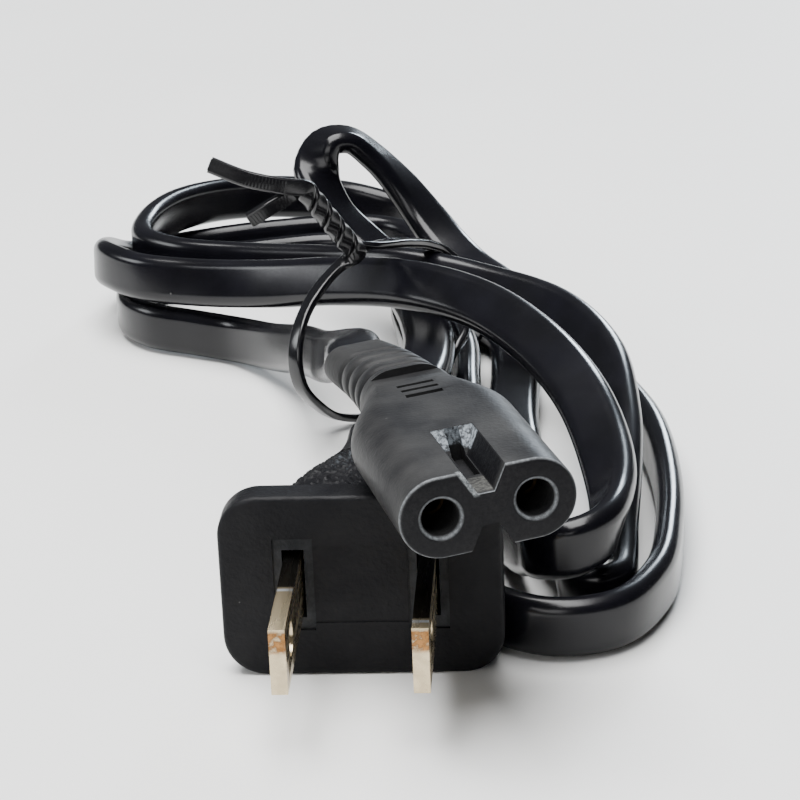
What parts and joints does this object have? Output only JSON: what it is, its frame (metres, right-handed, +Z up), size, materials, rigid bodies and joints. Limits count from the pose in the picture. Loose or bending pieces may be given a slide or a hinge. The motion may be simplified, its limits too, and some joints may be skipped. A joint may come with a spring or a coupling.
{
  "type": "figure-eight power cord",
  "caption": "Flat two-core power cord with a two-blade plug and a figure-eight connector, tied in a loose hank with a twist tie.",
  "frame": {"origin": "under the middle of the plug's face, on the surface that the cord lies on", "axes": "-Y out of the plug's face, the way its blades point; +Z up; +X to the right seen from in front of the plug, toward the connector's face"},
  "size_m": [0.0736, 0.1604, 0.0343],
  "materials": {
    "plug_plastic": "matte black moulded PVC, pebbled on the grip",
    "connector_plastic": "matte dark grey moulded PVC",
    "cord_jacket": "satin black PVC",
    "tie_plastic": "ribbed black plastic over a wire",
    "blade_nickel": "nickel-plated brass, the plating worn at the tips",
    "contact_brass": "plain brass sleeves deep in the holes"
  },
  "bodies": {
    "root": {"plug_body": "plug_plastic", "blade_left": "blade_nickel", "blade_right": "blade_nickel", "connector_body": "connector_plastic", "socket_contact_left": "contact_brass", "socket_contact_right": "contact_brass", "power_cord": "cord_jacket", "twist_tie": "tie_plastic"}
  },
  "joints": []
}
